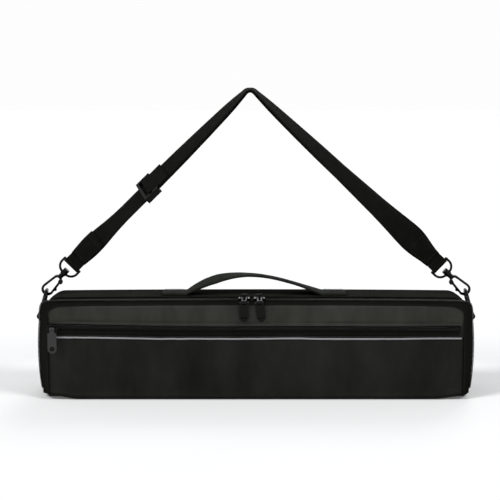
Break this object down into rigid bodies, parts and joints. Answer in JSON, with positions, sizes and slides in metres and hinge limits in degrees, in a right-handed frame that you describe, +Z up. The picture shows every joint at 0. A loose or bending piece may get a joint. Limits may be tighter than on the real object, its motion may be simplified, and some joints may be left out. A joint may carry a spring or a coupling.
{
  "type": "padded flute case with shoulder strap",
  "caption": "Soft padded flute case, closed, with a two-way zip, a zipped front pocket, a webbing handle and a shoulder strap clipped to rings on its ends.",
  "frame": {"origin": "centre of the case's underside, on the plane it stands on, midway between its ends and between its front and back faces", "axes": "+X along the case to the right seen from the front, -Y out of the front face with the pocket, +Z up"},
  "size_m": [0.4486, 0.0762, 0.3109],
  "materials": {
    "nylon_panel": "black nylon cloth with a faint sheen",
    "nylon_strip": "black nylon cloth, a shade lighter",
    "foam": "closed-cell foam padding, matt",
    "lining": "smooth dark lining cloth",
    "zip_tape": "woven polyester tape, matt",
    "zip_coil": "nylon zip coil, satin",
    "black_metal": "black-plated metal, glossy",
    "matte_pull": "dark grey metal, matt",
    "silver_piping": "silver-grey piping, satin",
    "handle_webbing": "greenish-black webbing, ribbed",
    "strap_webbing": "black webbing, ribbed"
  },
  "bodies": {
    "case": {"back_panel": "nylon_panel", "case_gusset": "nylon_panel", "bottom_panel": "nylon_panel", "back_pad": "foam", "bottom_pad": "foam", "gusset_pad": "foam", "case_lining": "lining", "case_zip_tape": "zip_tape", "case_zip_coil": "zip_coil", "case_zip_stops": "black_metal", "left_handle_end": "handle_webbing", "right_handle_end": "handle_webbing", "left_ring_tab": "strap_webbing", "right_ring_tab": "strap_webbing"},
    "lid": {"upper_front_panel": "nylon_strip", "pocket_panel": "nylon_panel", "pocket_back_wall": "lining", "lid_pad": "foam", "lid_lining": "lining", "lid_zip_tape": "zip_tape", "lid_zip_coil": "zip_coil", "lid_zip_stops": "black_metal", "pocket_tape_upper": "zip_tape", "pocket_tape_lower": "zip_tape", "pocket_coil_upper": "zip_coil", "pocket_coil_lower": "zip_coil", "pocket_piping": "silver_piping"},
    "left_slider_unit": {"left_slider": "black_metal"},
    "right_slider_unit": {"right_slider": "black_metal"},
    "left_link_unit": {"left_pull_link": "black_metal"},
    "right_link_unit": {"right_pull_link": "black_metal"},
    "left_pull_unit": {"left_pull": "black_metal"},
    "right_pull_unit": {"right_pull": "black_metal"},
    "pocket_slider_unit": {"pocket_slider": "black_metal"},
    "pocket_pull_unit": {"pocket_pull": "matte_pull"},
    "handle": {"handle_grip": "handle_webbing"},
    "left_ring": {"left_d_ring": "black_metal"},
    "right_ring": {"right_d_ring": "black_metal"},
    "strap": {"left_hook_eye": "black_metal", "right_hook_eye": "black_metal", "left_strap_loop": "strap_webbing", "right_strap_loop": "strap_webbing", "left_strap_fold": "strap_webbing", "strap_main_layer": "strap_webbing", "strap_return_layer": "strap_webbing"},
    "adjuster": {"strap_adjuster": "black_metal", "adjuster_loop": "strap_webbing"},
    "left_hook": {"left_hook_claw": "black_metal", "left_gate_pin": "black_metal"},
    "right_hook": {"right_hook_claw": "black_metal", "right_gate_pin": "black_metal"},
    "left_gate": {"left_hook_gate": "black_metal"},
    "right_gate": {"right_hook_gate": "black_metal"}
  },
  "joints": [
    {"name": "lid_hinge", "type": "hinge", "parent": "case", "child": "lid", "pos_m": [0, -0.036, 0.001], "axis": [1, 0, 0], "range_deg": [0, 84]},
    {"name": "left_slider_slide", "type": "slide", "parent": "lid", "child": "left_slider_unit", "axis": [-1, 0, 0], "range_m": [0, 0.185]},
    {"name": "right_slider_slide", "type": "slide", "parent": "lid", "child": "right_slider_unit", "axis": [1, 0, 0], "range_m": [0, 0.185]},
    {"name": "left_link_hinge", "type": "hinge", "parent": "left_slider_unit", "child": "left_link_unit", "pos_m": [-0.012, -0.02, 0.10428], "axis": [-1, 0, 0], "range_deg": [0, 95]},
    {"name": "right_link_hinge", "type": "hinge", "parent": "right_slider_unit", "child": "right_link_unit", "pos_m": [0.0035, -0.02, 0.10428], "axis": [-1, 0, 0], "range_deg": [0, 95]},
    {"name": "left_pull_hinge", "type": "hinge", "parent": "left_link_unit", "child": "left_pull_unit", "pos_m": [-0.012, -0.03738, 0.10088], "axis": [-1, 0, 0], "range_deg": [0, 110]},
    {"name": "right_pull_hinge", "type": "hinge", "parent": "right_link_unit", "child": "right_pull_unit", "pos_m": [0.0035, -0.03738, 0.10088], "axis": [-1, 0, 0], "range_deg": [0, 110]},
    {"name": "pocket_slider_slide", "type": "slide", "parent": "lid", "child": "pocket_slider_unit", "axis": [1, 0, 0], "range_m": [0, 0.4]},
    {"name": "pocket_pull_hinge", "type": "hinge", "parent": "pocket_slider_unit", "child": "pocket_pull_unit", "pos_m": [-0.205, -0.03928, 0.074], "axis": [-1, 0, 0], "range_deg": [0, 110]},
    {"name": "handle_fold", "type": "hinge", "parent": "case", "child": "handle", "pos_m": [-0.002, 0.01, 0.1015], "axis": [-1, 0, 0], "range_deg": [-25, 40]},
    {"name": "left_ring_hinge", "type": "hinge", "parent": "case", "child": "left_ring", "pos_m": [-0.221, 0.012, 0.0785], "axis": [0, 1, 0], "range_deg": [0, 3]},
    {"name": "right_ring_hinge", "type": "hinge", "parent": "case", "child": "right_ring", "pos_m": [0.221, 0.012, 0.0785], "axis": [0, -1, 0], "range_deg": [0, 3]},
    {"name": "strap_swing", "type": "hinge", "parent": "case", "child": "strap", "pos_m": [0, 0.012, 0.08976], "axis": [-1, 0, 0], "range_deg": [-20, 20]},
    {"name": "adjuster_slide", "type": "slide", "parent": "strap", "child": "adjuster", "axis": [-0.7078, 0, -0.7064], "range_m": [0, 0.015]},
    {"name": "left_hook_swivel", "type": "hinge", "parent": "strap", "child": "left_hook", "pos_m": [-0.21471, 0.012, 0.10373], "axis": [0.7078, 0, 0.7064], "range_deg": [-20, 20]},
    {"name": "right_hook_swivel", "type": "hinge", "parent": "strap", "child": "right_hook", "pos_m": [0.21471, 0.012, 0.10373], "axis": [-0.7273, 0, 0.6863], "range_deg": [-20, 20]},
    {"name": "left_gate_hinge", "type": "hinge", "parent": "left_hook", "child": "left_gate", "pos_m": [-0.20056, 0.012, 0.11227], "axis": [0, 1, 0], "range_deg": [0, 25], "stiffness_Nm_per_rad": 0.002, "springref_deg": -20.05},
    {"name": "right_gate_hinge", "type": "hinge", "parent": "right_hook", "child": "right_gate", "pos_m": [0.20033, 0.012, 0.11187], "axis": [0, -1, 0], "range_deg": [0, 25], "stiffness_Nm_per_rad": 0.002, "springref_deg": -20.05}
  ]
}
